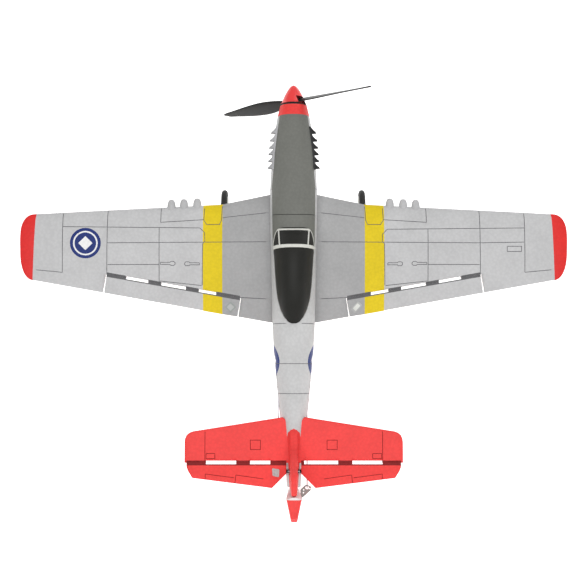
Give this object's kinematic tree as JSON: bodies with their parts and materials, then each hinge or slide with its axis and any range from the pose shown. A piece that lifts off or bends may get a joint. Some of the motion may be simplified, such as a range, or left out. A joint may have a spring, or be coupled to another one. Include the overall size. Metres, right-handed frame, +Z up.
{
  "type": "rc foam airplane",
  "caption": "Low-wing foam park flyer with hinged controls, geared propeller, servos, pushrods and wire landing gear.",
  "frame": {"origin": "on the ground under the middle of the model's box", "axes": "+Z up, nose towards -Y, port wing tip towards +X; the model stands on its three wheels, nose 12.2 degrees up"},
  "size_m": [0.4, 0.3162, 0.1322],
  "materials": {
    "foam_silver": "matte",
    "foam_red": "matte",
    "canopy_plastic": "gloss",
    "red_plastic": "satin",
    "dark_plastic": "satin",
    "grey_plastic": "satin",
    "white_plastic": "satin",
    "black_plastic": "satin",
    "servo_case": "satin",
    "steel": "satin",
    "motor_metal": "satin",
    "brass": "polished",
    "carbon": "satin",
    "circuit_green": "satin",
    "cell_wrap": "gloss",
    "tyre_black": "matte"
  },
  "bodies": {
    "airframe": {"fuselage_left": "foam_silver", "fuselage_right": "foam_silver", "canopy": "canopy_plastic", "wing_left": "foam_silver", "wing_right": "foam_silver", "spar_left": "carbon", "spar_right": "carbon", "stabilizer": "foam_red", "fin": "foam_red", "belly_scoop": "foam_silver", "exhaust_left": "grey_plastic", "exhaust_right": "grey_plastic", "motor": "motor_metal", "motor_mount": "black_plastic", "battery": "cell_wrap", "receiver_board": "circuit_green", "servo_aileron_left": "servo_case", "servo_aileron_right": "servo_case", "servo_elevator": "servo_case", "servo_rudder": "servo_case", "gear_mount_left": "black_plastic", "gear_mount_right": "black_plastic", "gear_leg_left": "steel", "gear_leg_right": "steel", "tail_leg": "steel"},
    "propeller_group": {"propeller": "dark_plastic", "spinner": "red_plastic", "prop_shaft": "steel", "spur_gear": "white_plastic"},
    "pinion": {"pinion_gear": "brass"},
    "main_wheel_left": {"wheel_left": "tyre_black"},
    "main_wheel_right": {"wheel_right": "tyre_black"},
    "left_aileron": {"aileron_left": "foam_silver", "horn_aileron_left": "white_plastic"},
    "right_aileron": {"aileron_right": "foam_silver", "horn_aileron_right": "white_plastic"},
    "left_aileron_arm": {"arm_aileron_left": "white_plastic"},
    "right_aileron_arm": {"arm_aileron_right": "white_plastic"},
    "left_aileron_rod": {"pushrod_aileron_left": "steel"},
    "right_aileron_rod": {"pushrod_aileron_right": "steel"},
    "elevator": {"elevator_left": "foam_red", "elevator_right": "foam_red", "elevator_joiner": "steel", "horn_elevator": "white_plastic"},
    "elevator_arm": {"arm_elevator": "white_plastic"},
    "elevator_rod": {"pushrod_elevator": "steel"},
    "rudder_group": {"rudder": "foam_red", "horn_rudder": "grey_plastic"},
    "rudder_arm": {"arm_rudder": "white_plastic"},
    "rudder_rod": {"pushrod_rudder": "steel"},
    "tail_wheel_group": {"tail_wheel": "tyre_black"},
    "hatch": {"battery_hatch": "foam_silver"}
  },
  "joints": [
    {"name": "prop_spin", "type": "hinge", "parent": "airframe", "child": "propeller_group", "pos_m": [0, -0.146, 0.0881], "axis": [0, 0.9774, -0.2113], "continuous": true},
    {"name": "pinion_spin", "type": "hinge", "parent": "airframe", "child": "pinion", "pos_m": [0, -0.13166, 0.07395], "axis": [0, 0.9774, -0.2113], "continuous": true},
    {"name": "left_wheel_spin", "type": "hinge", "parent": "airframe", "child": "main_wheel_left", "pos_m": [0.054, -0.09166, 0.01292], "axis": [1, 0, 0], "continuous": true},
    {"name": "right_wheel_spin", "type": "hinge", "parent": "airframe", "child": "main_wheel_right", "pos_m": [-0.054, -0.09166, 0.01292], "axis": [1, 0, 0], "continuous": true},
    {"name": "left_aileron_tilt", "type": "hinge", "parent": "airframe", "child": "left_aileron", "pos_m": [0.0884, -0.01418, 0.05137], "axis": [0.9823, -0.1482, 0.1146], "range_deg": [-18, 18]},
    {"name": "left_aileron_arm_swing", "type": "hinge", "parent": "airframe", "child": "left_aileron_arm", "pos_m": [0.0465, -0.037, 0.05278], "axis": [1, 0, 0], "range_deg": [-20, 20]},
    {"name": "left_aileron_rod_travel", "type": "slide", "parent": "airframe", "child": "left_aileron_rod", "axis": [0, 0.9774, -0.2113], "range_m": [-0.003, 0.003]},
    {"name": "right_aileron_tilt", "type": "hinge", "parent": "airframe", "child": "right_aileron", "pos_m": [-0.0884, -0.01418, 0.05137], "axis": [0.9823, 0.1482, -0.1146], "range_deg": [-18, 18]},
    {"name": "right_aileron_arm_swing", "type": "hinge", "parent": "airframe", "child": "right_aileron_arm", "pos_m": [-0.0465, -0.037, 0.05278], "axis": [1, 0, 0], "range_deg": [-20, 20]},
    {"name": "right_aileron_rod_travel", "type": "slide", "parent": "airframe", "child": "right_aileron_rod", "axis": [0, 0.9774, -0.2113], "range_m": [-0.003, 0.003]},
    {"name": "elevator_tilt", "type": "hinge", "parent": "airframe", "child": "elevator", "pos_m": [0, 0.11426, 0.04257], "axis": [1, 0, 0], "range_deg": [-20, 20]},
    {"name": "elevator_arm_swing", "type": "hinge", "parent": "airframe", "child": "elevator_arm", "pos_m": [0.0095, 0.01118, 0.04849], "axis": [1, 0, 0], "range_deg": [-22, 22]},
    {"name": "elevator_rod_travel", "type": "slide", "parent": "airframe", "child": "elevator_rod", "axis": [0, 0.9774, -0.2113], "range_m": [-0.0033, 0.0033]},
    {"name": "rudder_turn", "type": "hinge", "parent": "airframe", "child": "rudder_group", "pos_m": [0, 0.13006, 0.03046], "axis": [0, 0.2113, 0.9774], "range_deg": [-20, 20]},
    {"name": "rudder_arm_swing", "type": "hinge", "parent": "airframe", "child": "rudder_arm", "pos_m": [0, 0.03036, 0.05202], "axis": [0, 0.2113, 0.9774], "range_deg": [-22, 22]},
    {"name": "rudder_rod_travel", "type": "slide", "parent": "airframe", "child": "rudder_rod", "axis": [0, 0.9774, -0.2113], "range_m": [-0.0038, 0.0038]},
    {"name": "tail_wheel_spin", "type": "hinge", "parent": "airframe", "child": "tail_wheel_group", "pos_m": [0, 0.10411, 0.0051], "axis": [1, 0, 0], "continuous": true},
    {"name": "hatch_swing", "type": "hinge", "parent": "airframe", "child": "hatch", "pos_m": [0, -0.1102, 0.05822], "axis": [-1, 0, 0], "range_deg": [0, 80]}
  ],
  "couplings": [
    {"joint": "pinion_spin", "follows": "prop_spin", "ratio": -5},
    {"joint": "right_aileron_tilt", "follows": "left_aileron_tilt", "ratio": -1},
    {"joint": "left_aileron_arm_swing", "follows": "left_aileron_tilt", "ratio": 1},
    {"joint": "left_aileron_rod_travel", "follows": "left_aileron_tilt", "m_per_rad": 0.007869},
    {"joint": "right_aileron_arm_swing", "follows": "left_aileron_tilt", "ratio": -1},
    {"joint": "right_aileron_rod_travel", "follows": "left_aileron_tilt", "m_per_rad": -0.007869},
    {"joint": "elevator_arm_swing", "follows": "elevator_tilt", "ratio": -1},
    {"joint": "elevator_rod_travel", "follows": "elevator_tilt", "m_per_rad": 0.007839},
    {"joint": "rudder_arm_swing", "follows": "rudder_turn", "ratio": 1},
    {"joint": "rudder_rod_travel", "follows": "rudder_turn", "m_per_rad": -0.009406}
  ]
}
